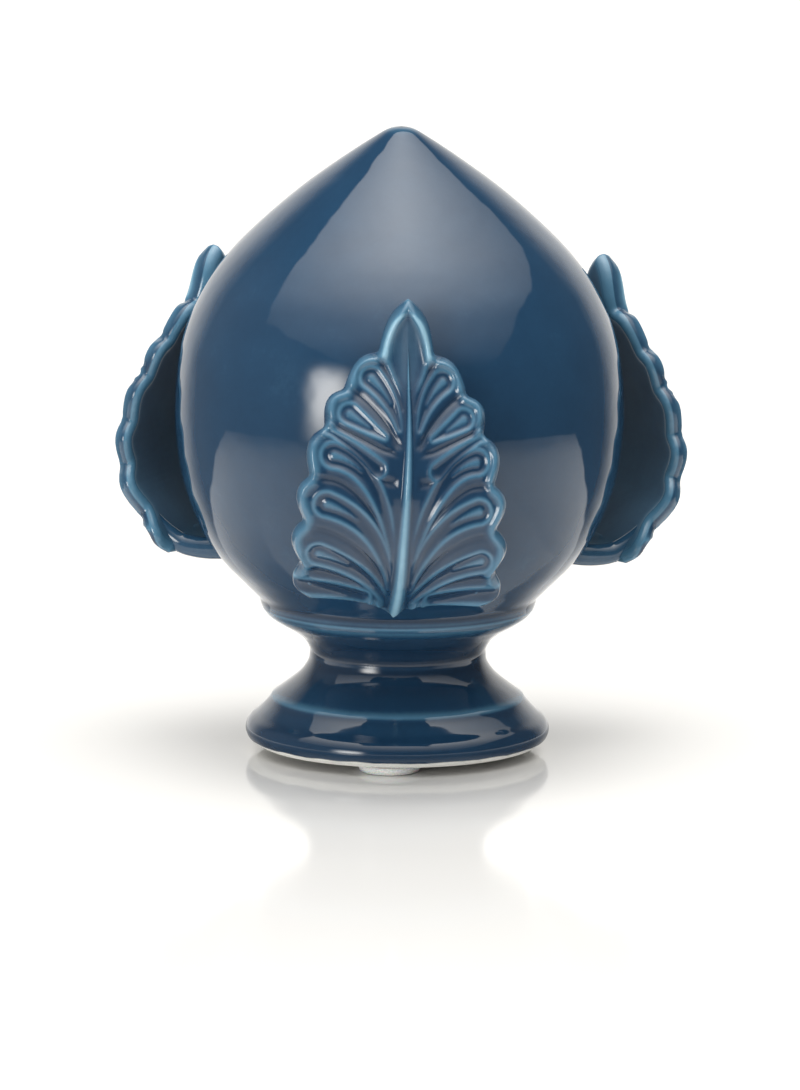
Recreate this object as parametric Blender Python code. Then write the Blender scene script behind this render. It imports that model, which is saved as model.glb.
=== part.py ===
"""A glazed porcelain bud finial: a pointed bud on a waisted foot, with three carved leaves standing off it.

The origin is on the axis, at the middle of the underside. +Z is up and the front leaf faces -Y.
Every length below is in millimetres; heights are above the table that the finial stands on.
"""

import functools
import math

import bmesh
import bpy
import numpy as np
from mathutils import Matrix, Vector

MM = 0.001

# Heights of the underside: the foot ring stands on the pads, and the disc inside it is a little higher.
RING_HEIGHT = 1.9
DISC_HEIGHT = 2.5
DISC_RADIUS = 13.0
RING_INNER_RADIUS = 13.6

# The turned outline, as (radius, height) stations, in four stretches from the top down.
BUD = (
    (0.0, 129.2), (2.4, 128.75), (5.2, 127.2), (12.0, 122.7), (20.7, 116.3), (29.3, 108.8), (35.6, 102.2),
    (40.4, 95.1), (44.5, 84.8), (45.9, 71.6), (45.1, 60.7), (43.2, 53.0), (39.9, 45.3), (36.0, 39.9),
    (32.0, 35.8), (28.9, 32.7),
)
COLLAR = ((28.9, 32.7), (28.5, 32.1), (28.2, 31.0), (27.9, 30.1))
NECK = (
    (27.9, 30.1), (26.9, 28.8), (25.1, 27.5), (22.3, 25.9), (19.7, 24.0), (18.25, 21.8), (18.1, 20.3),
    (18.5, 18.5), (20.2, 16.1), (23.2, 13.6), (25.8, 11.7),
)
FOOT_EDGE = ((25.8, 11.7), (26.8, 10.3), (28.7, 8.3), (30.5, 6.7), (31.2, 4.9), (30.7, 3.2), (29.6, 2.4))
OUTLINE_STRETCHES = (BUD, COLLAR, NECK, FOOT_EDGE)
RIM_RADIUS = 28.9
TURNED_SIDES = 42

# One leaf, seen from outside: distances across from its rib, and heights.
# The notches run from the bottom corner up to the one under the tip lobe, with a round lobe between
# each two, whose edge bulges out by LOBE_BULGE.
LEAF_TIP = 100.5
NOTCHES = ((17.5, 38.2), (20.0, 46.1), (20.0, 56.1), (19.2, 65.4), (16.5, 75.2), (12.9, 82.6), (5.9, 90.0))
LOBE_BULGE = (2.5, 2.3, 2.2, 2.3, 2.0, 1.9, 1.5)
# Where on the rib each notch's groove starts.
GROOVE_ROOTS = (33.0, 37.0, 41.5, 48.0, 58.0, 69.0, 80.0, 100.5)
# How far out and how far up a row bends, as shares of the way to its end: for most rows, and for the bottom
# edge, which turns outwards sooner.
GROOVE_BEND = (0.36, 0.80)
BOTTOM_BEND = (0.12, 0.92)

# How far the leaf's face is from the axis, by height: along the rib, and 20 mm to the side of it.
FACE_AT_RIB = (
    (31.0, 27.5), (33.0, 30.6), (36.5, 37.6), (40.0, 43.5), (44.0, 48.4), (51.5, 54.4), (60.5, 56.8), (70.0, 55.6),
    (78.0, 52.8), (87.0, 49.4), (94.0, 48.2), (103.0, 48.4),
)
FACE_AT_SIDE = (
    (31.0, 44.5), (40.2, 46.0), (44.0, 47.8), (51.5, 53.0), (60.5, 55.0), (70.0, 53.8), (78.0, 51.0),
    (87.0, 47.2), (94.0, 46.2), (103.0, 46.2),
)
SIDE_DISTANCE = 20.0
LEAF_THICKNESS = 2.9

# The carving: half heights of what stands up or is cut in, at stations across a half leaf and round a lobe.
RIB_HEIGHT = 0.9
ACROSS = (0.0, 0.10, 0.26, 0.46, 0.66, 0.82, 0.94, 1.0)
ROUND_LOBE = (0.0, 0.25, 0.5, 0.75)
GROOVE_DEPTH = 0.75
RIDGE_HEIGHT = 0.55
HOLLOW_DEPTH = 0.45
EDGE_ROUNDING = 0.9
TIP_STEPS = (0.0, 0.18, 0.40, 0.62, 0.82, 0.94)

# The floor that joins the bottom of a leaf to the bud.
FLOOR_TOP = 42.0
FLOOR_HALF_WIDTH = 17.6
FLOOR_INNER = 24.0
FLOOR_COLUMNS = 11
FLOOR_SINK = 1.4

# Each leaf is stuck on by hand. The angles are its turn about the axis, its lean to its right and
# its tilt outwards at the tip, and the lengths are how much further out and higher it sits.
# The leans and tilts turn about the leaf's middle.
LEAVES = (
    ("front", 0.0, 2.6, 0.0, 0.0, 0.0),
    ("right", 120.0, 0.0, 2.2, 1.1, -0.9),
    ("left", -120.0, 0.0, -2.2, -0.2, 1.1),
)
LEAF_MIDDLE = (50.0, 65.0)

# The stick-on pads.
PAD_RADIUS = 6.35
PAD_BEVEL = 0.35
PAD_GAP = 0.3
PAD_CIRCLE = 22.0
PAD_TURN = -4.0
PADS = (("bumper_pad_front", 0.0), ("bumper_pad_rear_right", 120.0), ("bumper_pad_rear_left", -120.0))
PAD_SIDES = 24

GLAZE_COLOR = (0.035, 0.11, 0.23, 1.0)
PAD_COLOR = (0.62, 0.63, 0.66, 1.0)


@functools.cache
def smooth_curve(stations, steps):
    """Points on a cubic curve through all stations, with this many steps between each two."""
    points = np.array(stations, dtype=float)
    ends = np.vstack([2 * points[0] - points[1], points, 2 * points[-1] - points[-2]])
    found = []
    for k in range(len(points) - 1):
        before, start, end, after = ends[k : k + 4]
        for t in np.arange(steps) / steps:
            found.append(
                0.5 * (2 * start + (end - before) * t + (2 * before - 5 * start + 4 * end - after) * t**2
                       + (3 * start - before - 3 * end + after) * t**3)
            )
    found.append(points[-1])
    return np.array(found)


def smooth_value(stations, height):
    """The value at a height, read from a smooth curve through (height, value) stations."""
    curve = smooth_curve(stations, 6)
    return float(np.interp(height, curve[:, 0], curve[:, 1]))


def material(name, color, roughness, coat):
    made = bpy.data.materials.new(name)
    made.use_nodes = True
    shader = made.node_tree.nodes["Principled BSDF"]
    shader.inputs["Base Color"].default_value = color
    shader.inputs["Roughness"].default_value = roughness
    shader.inputs["Coat Weight"].default_value = coat
    made.diffuse_color = color
    return made


def new_object(name, mesh_builder, finish):
    """A linked object whose closed mesh, built in millimetres, is brought to metres and shaded smooth."""
    bmesh.ops.remove_doubles(mesh_builder, verts=mesh_builder.verts[:], dist=0.001)
    bmesh.ops.recalc_face_normals(mesh_builder, faces=mesh_builder.faces[:])
    bmesh.ops.triangulate(mesh_builder, faces=mesh_builder.faces[:])
    bmesh.ops.scale(mesh_builder, vec=(MM, MM, MM), verts=mesh_builder.verts[:])
    mesh = bpy.data.meshes.new(name)
    mesh_builder.to_mesh(mesh)
    mesh_builder.free()
    mesh.materials.append(finish)
    mesh.shade_smooth()
    mesh.set_sharp_from_angle(angle=math.radians(35))
    made = bpy.data.objects.new(name, mesh)
    bpy.context.scene.collection.objects.link(made)
    return made


def turned_outline():
    """The whole outline as (radius, height above the origin), from the top of the axis to its bottom."""
    outline = []
    for stations in OUTLINE_STRETCHES:
        outline.extend(stations[:-1])
    outline.append(FOOT_EDGE[-1])
    outline.append((RIM_RADIUS, RING_HEIGHT))
    outline.append((RING_INNER_RADIUS, RING_HEIGHT))
    outline.append((DISC_RADIUS, DISC_HEIGHT))
    outline.append((0.0, DISC_HEIGHT))
    return [(max(radius, 0.0), height - DISC_HEIGHT) for radius, height in outline]


def turned_body(finish):
    """The bud, collar, neck and foot: the outline spun about the axis."""
    builder = bmesh.new()
    corners = [builder.verts.new((radius, 0.0, height)) for radius, height in turned_outline()]
    edges = [builder.edges.new(pair) for pair in zip(corners, corners[1:])]
    bmesh.ops.spin(
        builder, geom=corners + edges, cent=(0, 0, 0), axis=(0, 0, 1), angle=math.tau,
        steps=TURNED_SIDES, use_merge=True,
    )
    return new_object("porcelain_finial", builder, finish)


def arc_point(start, end, bulge, along):
    """A point on the arc from start to end that swells by bulge to the right of the way up."""
    start = np.array(start, dtype=float)
    end = np.array(end, dtype=float)
    chord = end - start
    outward = np.array((chord[1], -chord[0])) / np.linalg.norm(chord)
    return start + chord * along + outward * bulge * 4 * along * (1 - along) * (1 + 0.35 * (2 * along - 1))


def leaf_rows():
    """The rows of a half leaf as (where it leaves the rib, where it ends, place in its lobe, is in the tip lobe)."""
    ends = NOTCHES + ((0.0, LEAF_TIP),)
    rows = []
    for lobe in range(len(ends) - 1):
        in_tip = lobe == len(ends) - 2
        for along in TIP_STEPS if in_tip else ROUND_LOBE:
            end = arc_point(ends[lobe], ends[lobe + 1], LOBE_BULGE[lobe], along)
            root = GROOVE_ROOTS[lobe] + (GROOVE_ROOTS[lobe + 1] - GROOVE_ROOTS[lobe]) * along
            rows.append((root, end, along, in_tip))
    return rows


def row_point(root, end, across):
    """A point on a row: it sets off along the rib and then bends out to the edge."""
    start = np.array((0.0, root))
    first, second = GROOVE_ROOTS[:2]
    share = min((root - first) / (second - first), 1.0)
    bend_out, bend_up = (low + (usual - low) * share for low, usual in zip(BOTTOM_BEND, GROOVE_BEND))
    bend = np.array((end[0] * bend_out, root + (end[1] - root) * bend_up))
    return (1 - across) ** 2 * start + 2 * across * (1 - across) * bend + across**2 * end


def face_distance(across, height):
    """How far the uncarved face is from the axis, measured straight out from it."""
    share = (across / SIDE_DISTANCE) ** 2
    return smooth_value(FACE_AT_RIB, height) * (1 - share) + smooth_value(FACE_AT_SIDE, height) * share


def face_point(across, height, lift):
    """A point of the leaf's face, moved out by lift along the face's own normal, as (across, out, height)."""
    step = 0.5
    out = face_distance(across, height)
    slope_across = (face_distance(across + step, height) - face_distance(across - step, height)) / (2 * step)
    slope_up = (face_distance(across, height + step) - face_distance(across, height - step)) / (2 * step)
    normal = np.array((-slope_across, 1.0, -slope_up))
    normal /= np.linalg.norm(normal)
    return np.array((across, out, height)) + normal * lift


def carving(column, along, in_tip):
    """How far the carved face stands out at a column across the half leaf and a place round the lobe."""
    across = ACROSS[column]
    if across == 0.0:
        return RIB_HEIGHT * (1 - 0.7 * in_tip)
    if across == 1.0:
        return -EDGE_ROUNDING
    if in_tip:
        return -HOLLOW_DEPTH * math.sin(math.pi * min(across / 0.8, 1.0)) + 0.3 * (across > 0.8)
    swell = math.sin(math.pi * min(1.0, across / 0.9)) ** 0.5 if across < 0.9 else 0.5
    if along == 0.0:
        return -GROOVE_DEPTH * swell
    if along == 0.5:
        return -HOLLOW_DEPTH * swell if across < 0.8 else RIDGE_HEIGHT * 0.8
    return RIDGE_HEIGHT * swell


def leaf_placement(turn, lean, tilt, further_out, lift):
    """The matrix that takes a leaf's own (across, -out, height) to its place on the finial."""
    middle = Vector((0.0, -LEAF_MIDDLE[0], LEAF_MIDDLE[1]))
    moved = Vector((0.0, -further_out, lift))
    turned = Matrix.Rotation(math.radians(turn), 4, "Z")
    leaned = Matrix.Rotation(math.radians(lean), 4, "Y") @ Matrix.Rotation(math.radians(tilt), 4, "X")
    lowered = Matrix.Translation((0.0, 0.0, -DISC_HEIGHT))
    return lowered @ turned @ Matrix.Translation(middle + moved) @ leaned @ Matrix.Translation(-middle)


def placed(point, placement):
    """A leaf's own (across, out, height) as a place on the finial."""
    across, out, height = point
    return placement @ Vector((across, -out, height))


def leaf_shell(name, placement, finish):
    """The carved leaf: a front and a back grid of points, joined all round the edge."""
    builder = bmesh.new()
    columns = len(ACROSS)
    grids = []
    for is_back in (False, True):
        grid = []
        for root, end, along, in_tip in leaf_rows():
            row = []
            for side in (-1, 1):
                order = range(columns - 1, -1, -1) if side < 0 else range(1, columns)
                for column in order:
                    across, height = row_point(root, end, ACROSS[column])
                    rise = -LEAF_THICKNESS if is_back else carving(column, along, in_tip)
                    if is_back and column == columns - 1:
                        rise += 0.5
                    point = face_point(side * across, height, rise)
                    row.append(builder.verts.new(placed(point, placement)))
            grid.append(row)
        tip_lift = -LEAF_THICKNESS * 0.8 if is_back else -0.4
        tip = builder.verts.new(placed(face_point(0.0, LEAF_TIP, tip_lift), placement))
        grids.append((grid, tip))
    front, front_tip = grids[0]
    back, back_tip = grids[1]
    for grid, tip in grids:
        for low, high in zip(grid, grid[1:]):
            for k in range(len(low) - 1):
                builder.faces.new((low[k], low[k + 1], high[k + 1], high[k]))
        for k in range(len(grid[-1]) - 1):
            builder.faces.new((grid[-1][k], grid[-1][k + 1], tip))
    for k in range(len(front[0]) - 1):
        builder.faces.new((front[0][k + 1], front[0][k], back[0][k], back[0][k + 1]))
    for side in (0, -1):
        rim_front = [row[side] for row in front] + [front_tip]
        rim_back = [row[side] for row in back] + [back_tip]
        for k in range(len(rim_front) - 1):
            builder.faces.new((rim_front[k], rim_front[k + 1], rim_back[k + 1], rim_back[k]))
    return new_object(name, builder, finish)


def bottom_height(across):
    """The height of the leaf's bottom edge at a distance across from the rib."""
    first_root, first_end = leaf_rows()[0][:2]
    points = np.array([row_point(first_root, first_end, share) for share in np.linspace(0, 1, 25)])
    return float(np.interp(abs(across), points[:, 0], points[:, 1]))


def leaf_floor(name, placement, finish):
    """The floor between a leaf's bottom edge and the bud: an upright slab with a keeled underside."""
    builder = bmesh.new()
    rings = []
    for across in np.linspace(-FLOOR_HALF_WIDTH, FLOOR_HALF_WIDTH, FLOOR_COLUMNS):
        bottom = bottom_height(across) + 0.25
        levels = np.linspace(bottom, FLOOR_TOP, 4)
        outer = [face_point(across, level, -FLOOR_SINK) for level in levels]
        loop = outer + [np.array((across, FLOOR_INNER, FLOOR_TOP)), np.array((across, FLOOR_INNER, bottom))]
        rings.append([builder.verts.new(placed(point, placement)) for point in loop])
    for low, high in zip(rings, rings[1:]):
        for k in range(len(low)):
            after = (k + 1) % len(low)
            builder.faces.new((low[k], low[after], high[after], high[k]))
    builder.faces.new(rings[0])
    builder.faces.new(rings[-1])
    return new_object(name, builder, finish)


def join(body, other):
    """Fuses another solid to the body, and keeps that solid out of the render."""
    other.hide_render = True
    other.display_type = "WIRE"
    fuse = body.modifiers.new("fuse " + other.name, "BOOLEAN")
    fuse.operation = "UNION"
    fuse.solver = "EXACT"
    fuse.object = other


def bumper_pad(name, turn, finish):
    """One flat round pad with softened edges, under the foot ring."""
    builder = bmesh.new()
    thickness = RING_HEIGHT - PAD_GAP
    bmesh.ops.create_cone(
        builder, cap_ends=True, segments=PAD_SIDES, radius1=PAD_RADIUS, radius2=PAD_RADIUS, depth=thickness,
    )
    rims = [edge for edge in builder.edges if abs(edge.verts[0].co.z - edge.verts[1].co.z) < 1e-4]
    bmesh.ops.bevel(builder, geom=rims, offset=PAD_BEVEL, segments=1, affect="EDGES", profile=0.5)
    angle = math.radians(turn + PAD_TURN - 90.0)
    place = (PAD_CIRCLE * math.cos(angle), PAD_CIRCLE * math.sin(angle), thickness / 2 - DISC_HEIGHT)
    bmesh.ops.translate(builder, vec=place, verts=builder.verts[:])
    return new_object(name, builder, finish)


def main():
    for old in list(bpy.data.objects):
        bpy.data.objects.remove(old, do_unlink=True)
    glaze = material("blue_glaze", GLAZE_COLOR, 0.08, 1.0)
    silicone = material("pad_silicone", PAD_COLOR, 0.35, 0.0)
    body = turned_body(glaze)
    for side, *setting in LEAVES:
        placement = leaf_placement(*setting)
        join(body, leaf_shell("leaf_" + side, placement, glaze))
        join(body, leaf_floor("leaf_floor_" + side, placement, glaze))
    for name, turn in PADS:
        bumper_pad(name, turn, silicone)


main()
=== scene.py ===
import math

import bmesh
import bpy
import numpy as np
from mathutils import Matrix


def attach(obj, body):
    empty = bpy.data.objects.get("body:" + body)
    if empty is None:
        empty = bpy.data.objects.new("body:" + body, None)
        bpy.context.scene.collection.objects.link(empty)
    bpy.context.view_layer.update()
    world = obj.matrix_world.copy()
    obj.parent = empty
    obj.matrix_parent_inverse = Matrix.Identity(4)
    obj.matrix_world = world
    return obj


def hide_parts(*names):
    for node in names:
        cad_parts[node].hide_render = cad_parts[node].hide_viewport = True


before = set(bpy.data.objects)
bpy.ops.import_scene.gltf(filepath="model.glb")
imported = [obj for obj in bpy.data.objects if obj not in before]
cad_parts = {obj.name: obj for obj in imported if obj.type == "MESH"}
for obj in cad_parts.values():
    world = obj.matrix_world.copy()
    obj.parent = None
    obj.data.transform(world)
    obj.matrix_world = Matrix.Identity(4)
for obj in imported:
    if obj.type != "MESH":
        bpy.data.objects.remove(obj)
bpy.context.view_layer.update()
millimetre = 0.001          # in the frame's metres
originHeight = 2.5          # the origin's height above the table, in millimetres
frontAngle = -90.0          # the viewer's side, in degrees from the x axis
mergeDistance = 2e-6        # closer points than this are one, in metres


# Curves

def quadratic(start, bend, end, t):
    # the start times (1-t)^2, the bend times 2t(1-t) and the end times t^2
    return (1 - t)**2 * start + 2 * t * (1 - t) * bend + t**2 * end


def smoothCurve(stations, steps):
    # a cubic curve through all stations, whose slope at each one is that between its two neighbours
    points = np.array(stations, dtype=float)
    ends = np.vstack([2 * points[0] - points[1], points, 2 * points[-1] - points[-2]])
    count = len(points) - 1
    before, start, end, after = (ends[k:k + count, None, :] for k in range(4))
    t = (np.arange(steps) / steps)[None, :, None]
    curve = 0.5 * (2 * start + (end - before) * t + (2 * before - 5 * start + 4 * end - after) * t**2
                   + (3 * start - before - 3 * end + after) * t**3)
    return np.vstack([curve.reshape(-1, points.shape[1]), points[-1:]])


def smoothValue(stations, height, steps=6):
    # the second value of the curve through the stations, where its first value is the height
    curve = smoothCurve(stations, steps)
    return np.interp(height, curve[:, 0], curve[:, 1])


def softCorners(corners, reach, steps=6):
    # each corner of the line becomes a quadratic curve that starts and ends within reach of it,
    # and not past nearly half of either leg
    corners = np.array(corners, dtype=float)
    mostOfLeg = 0.45
    found = [corners[0]]
    for before, corner, after in zip(corners, corners[1:], corners[2:]):
        start = corner + (before - corner) * min(reach / np.linalg.norm(before - corner), mostOfLeg)
        end = corner + (after - corner) * min(reach / np.linalg.norm(after - corner), mostOfLeg)
        t = np.linspace(0, 1, steps)[:, None]
        found.extend(quadratic(start, corner, end, t))
    found.append(corners[-1])
    return np.array(found)


def smoothStep(low, high, value):
    # 0 at low and 1 at high, and level at both: three times the share's square less twice its cube
    share = np.clip((value - low) / (high - low), 0, 1)
    return share * share * (3 - 2 * share)


def bell(value, width):
    # 1 at nought, falling to both sides: the exponential of less the square of the value in widths
    return np.exp(-(value / width)**2)


# Meshes

def closedGrid(name, points, thinAndPaintedLight, caps=None, dull=None):
    # rows of points whose columns run round in a loop. The third argument is the glaze's thinness at each
    # point, from 0 to 1, with painted highlights, a painted reflection and painted fill light put into it,
    # and dull is how far it has lost its gloss there. The first and last row are closed by a fan to the two
    # cap points, or have no opening where their own points meet.
    rows, columns = points.shape[:2]
    index = np.arange(rows * columns).reshape(rows, columns)
    around = np.roll(index, -1, axis=1)
    quads = np.stack([index[:-1], around[:-1], around[1:], index[1:]], axis=-1).reshape(-1, 4)
    places = points.reshape(-1, 3)
    looks = {"thinAndPaintedLight": thinAndPaintedLight.reshape(-1), "dull": (0 * thinAndPaintedLight if dull is None else dull).reshape(-1)}
    faces = quads.tolist()
    if caps is not None:
        places = np.vstack([places, caps])
        looks = {key: np.append(values, (values[0], values[-1])) for key, values in looks.items()}
        count = rows * columns
        faces += np.stack([around[0], index[0], np.full(columns, count)], axis=-1).tolist()
        faces += np.stack([index[-1], around[-1], np.full(columns, count + 1)], axis=-1).tolist()
    mesh = bpy.data.meshes.new(name)
    mesh.from_pydata((places - (0, 0, originHeight)) * millimetre, [], faces)
    for key, values in looks.items():
        layer = mesh.attributes.new(key, "FLOAT", "POINT")
        layer.data.foreach_set("value", np.clip(values, 0, 1).astype(np.float32))
    tidy = bmesh.new()
    tidy.from_mesh(mesh)
    bmesh.ops.remove_doubles(tidy, verts=tidy.verts[:], dist=mergeDistance)
    bmesh.ops.recalc_face_normals(tidy, faces=tidy.faces[:])
    tidy.to_mesh(mesh)
    tidy.free()
    mesh.shade_smooth()
    made = bpy.data.objects.new(name, mesh)
    bpy.context.scene.collection.objects.link(made)
    return made


def dress(piece, material, node):
    piece.data.materials.append(material)
    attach(piece, "root")
    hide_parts(node)


# Materials

def addNode(tree, kind, values=None, **settings):
    made = tree.nodes.new(kind)
    for key, value in settings.items():
        setattr(made, key, value)
    for key, value in (values or {}).items():
        if isinstance(value, bpy.types.NodeSocket):
            tree.links.new(value, made.inputs[key])
        else:
            made.inputs[key].default_value = value
    return made


def maths(tree, operation, first, second=0.5, clamp=False):
    made = addNode(tree, "ShaderNodeMath", {0: first, 1: second}, operation=operation, use_clamp=clamp)
    return made.outputs[0]


def swing(tree, value, size, middle=0.0):
    # a value from 0 to 1 turned into one that swings by half the size to both sides of the middle
    made = maths(tree, "MULTIPLY_ADD", value, size)
    made.node.inputs[2].default_value = middle - size / 2
    return made


def fade(tree, value, start, end, before=0.0, after=1.0, smooth=False):
    # from one value to another while the given one goes from start to end
    kind = "SMOOTHSTEP" if smooth else "LINEAR"
    return addNode(tree, "ShaderNodeMapRange", {
        "Value": value, "From Min": start, "From Max": end, "To Min": before, "To Max": after,
    }, interpolation_type=kind).outputs[0]


def ramp(tree, value, stops):
    made = addNode(tree, "ShaderNodeValToRGB", {"Fac": value})
    elements = made.color_ramp.elements
    while len(elements) < len(stops):
        elements.new(0.5)       # anywhere, as each is moved below
    for element, (place, color) in zip(elements, stops):
        element.position = place
        element.color = (*color, 1.0)
    return made.outputs["Color"]


def mix(tree, share, first, second):
    return addNode(tree, "ShaderNodeMix", {0: share, 2: first, 3: second}).outputs[0]


def noise(tree, where, scale, detail=2.0, roughness=0.5):
    made = addNode(tree, "ShaderNodeTexNoise", {
        "Vector": where, "Scale": scale, "Detail": detail, "Roughness": roughness,
    })
    return made.outputs["Fac"]


glazeLook = {
    "tones": [                           # by the glaze's thinness, with painted highlights, a painted reflection and painted fill light put into it
        (0.00, (0.004, 0.016, 0.038)),   # where it lies thick in the hollows
        (0.28, (0.008, 0.029, 0.066)),
        (0.44, (0.013, 0.047, 0.100)),
        (0.78, (0.072, 0.185, 0.290)),   # where it has run off the ridges
        (1.00, (0.250, 0.440, 0.570)),
    ],
    "roughness": 0.045,
    "roughnessSwing": 0.03,
    "dullRoughness": 0.62,               # how much rougher it is where it is dull
    "mottleScale": 95.0,                 # patches of about 10 mm
    "mottleSwing": 0.14,
    "speckScale": 900.0,                 # specks of about 1 mm
    "speckGrit": 0.7,
    "speckSwing": 0.06,
    "detail": 3.0,
    "rippleScale": 160.0,                # waves of about 6 mm
    "rippleDetail": 1.0,
    "rippleStrength": 0.6,
    "rippleHeight": 0.12,                # in millimetres
}


def glazeGroup():
    group = bpy.data.node_groups.new("glaze_tone", "ShaderNodeTree")
    group.interface.new_socket("ThinAndPaintedLight", in_out="INPUT", socket_type="NodeSocketFloat")
    group.interface.new_socket("Dull", in_out="INPUT", socket_type="NodeSocketFloat")
    group.interface.new_socket("Color", in_out="OUTPUT", socket_type="NodeSocketColor")
    group.interface.new_socket("Roughness", in_out="OUTPUT", socket_type="NodeSocketFloat")
    group.interface.new_socket("Height", in_out="OUTPUT", socket_type="NodeSocketFloat")
    given = group.nodes.new("NodeGroupInput").outputs
    where = group.nodes.new("ShaderNodeTexCoord").outputs["Object"]
    mottle = noise(group, where, glazeLook["mottleScale"], glazeLook["detail"])
    speck = noise(group, where, glazeLook["speckScale"], glazeLook["detail"], glazeLook["speckGrit"])
    depthAndPaintedLight = maths(group, "ADD", given["ThinAndPaintedLight"], swing(group, mottle, glazeLook["mottleSwing"]))
    depthAndPaintedLight = maths(group, "ADD", depthAndPaintedLight, swing(group, speck, glazeLook["speckSwing"]), clamp=True)
    tone = ramp(group, depthAndPaintedLight, glazeLook["tones"])
    gloss = swing(group, speck, glazeLook["roughnessSwing"], glazeLook["roughness"])
    gloss = maths(group, "ADD", gloss, maths(group, "MULTIPLY", given["Dull"], glazeLook["dullRoughness"]))
    ripple = noise(group, where, glazeLook["rippleScale"], glazeLook["rippleDetail"])
    result = group.nodes.new("NodeGroupOutput")
    group.links.new(tone, result.inputs["Color"])
    group.links.new(gloss, result.inputs["Roughness"])
    group.links.new(ripple, result.inputs["Height"])
    return group


glazeTone = glazeGroup()

bisqueLook = {
    "tones": [(0.30, (0.880, 0.880, 0.840)), (0.65, (0.980, 0.980, 0.940))],
    "roughness": 0.75,
    "grainScale": 2500.0,
    "grainDetail": 3.0,
    "grainGrit": 0.7,
    "edgeHeight": 3.1,        # the glaze stops this high above the table, in millimetres,
    "edgeWander": 0.9,        # its edge wanders by about this much
    "wanderScale": 140.0,
    "edgeSoftness": 0.15,     # and it thins out over this much to both sides
}


def glazeMaterial(name, withBisque):
    made = bpy.data.materials.new(name)
    made.use_nodes = True
    tree = made.node_tree
    shader = tree.nodes["Principled BSDF"]
    # the glaze's thinness, which also carries painted highlights, a painted reflection and painted fill
    # light
    thinAndPaintedLight = addNode(tree, "ShaderNodeAttribute", attribute_name="thinAndPaintedLight").outputs["Fac"]
    dull = addNode(tree, "ShaderNodeAttribute", attribute_name="dull").outputs["Fac"]
    tone = addNode(tree, "ShaderNodeGroup", {}, node_tree=glazeTone)
    tree.links.new(thinAndPaintedLight, tone.inputs["ThinAndPaintedLight"])
    tree.links.new(dull, tone.inputs["Dull"])
    color = tone.outputs["Color"]
    roughness = tone.outputs["Roughness"]
    if withBisque:
        where = tree.nodes.new("ShaderNodeTexCoord").outputs["Object"]
        height = addNode(tree, "ShaderNodeSeparateXYZ", {0: where}).outputs["Z"]
        wander = noise(tree, where, bisqueLook["wanderScale"])
        above = maths(tree, "ADD", height, swing(tree, wander, bisqueLook["edgeWander"] * millimetre))
        line = (bisqueLook["edgeHeight"] - originHeight) * millimetre
        soft = bisqueLook["edgeSoftness"] * millimetre
        bare = fade(tree, above, line - soft, line + soft, 1.0, 0.0, smooth=True)
        grainLook = (bisqueLook[key] for key in ("grainScale", "grainDetail", "grainGrit"))
        clay = ramp(tree, noise(tree, where, *grainLook), bisqueLook["tones"])
        color = addNode(tree, "ShaderNodeMix", {0: bare, 6: color, 7: clay}, data_type="RGBA").outputs[2]
        roughness = mix(tree, bare, roughness, bisqueLook["roughness"])
    bump = addNode(tree, "ShaderNodeBump", {
        "Strength": glazeLook["rippleStrength"], "Distance": glazeLook["rippleHeight"] * millimetre,
        "Height": tone.outputs["Height"],
    })
    tree.links.new(color, shader.inputs["Base Color"])
    tree.links.new(roughness, shader.inputs["Roughness"])
    tree.links.new(bump.outputs["Normal"], shader.inputs["Normal"])
    return made


bodyGlaze = glazeMaterial("blue_glaze_and_bisque", True)
leafGlaze = glazeMaterial("blue_glaze", False)


padLook = {
    "tones": [(0.3, (0.88, 0.88, 0.88)), (0.7, (0.97, 0.97, 0.97))],
    "roughnesses": [(0.35, (0.22, 0.22, 0.22)), (0.7, (0.42, 0.42, 0.42))],
    "cloudScale": 260.0,
    "cloudDetail": 3.0,
    "dustScale": 3000.0,
    "clearness": 0.08,
    "milkiness": 0.3,
    "milkDepth": 2.0,         # how far light wanders inside, in millimetres
}


def padMaterial():
    made = bpy.data.materials.new("clear_silicone")
    made.use_nodes = True
    tree = made.node_tree
    shader = tree.nodes["Principled BSDF"]
    where = tree.nodes.new("ShaderNodeTexCoord").outputs["Object"]
    cloud = noise(tree, where, padLook["cloudScale"], padLook["cloudDetail"])
    dust = noise(tree, where, padLook["dustScale"])
    tree.links.new(ramp(tree, cloud, padLook["tones"]), shader.inputs["Base Color"])
    tree.links.new(ramp(tree, dust, padLook["roughnesses"]), shader.inputs["Roughness"])
    shader.inputs["Transmission Weight"].default_value = padLook["clearness"]
    shader.inputs["Subsurface Weight"].default_value = padLook["milkiness"]
    shader.inputs["Subsurface Scale"].default_value = padLook["milkDepth"] * millimetre
    return made


padSilicone = padMaterial()
print("materials made")


# The turned body: bud, collar, neck and foot

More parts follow.
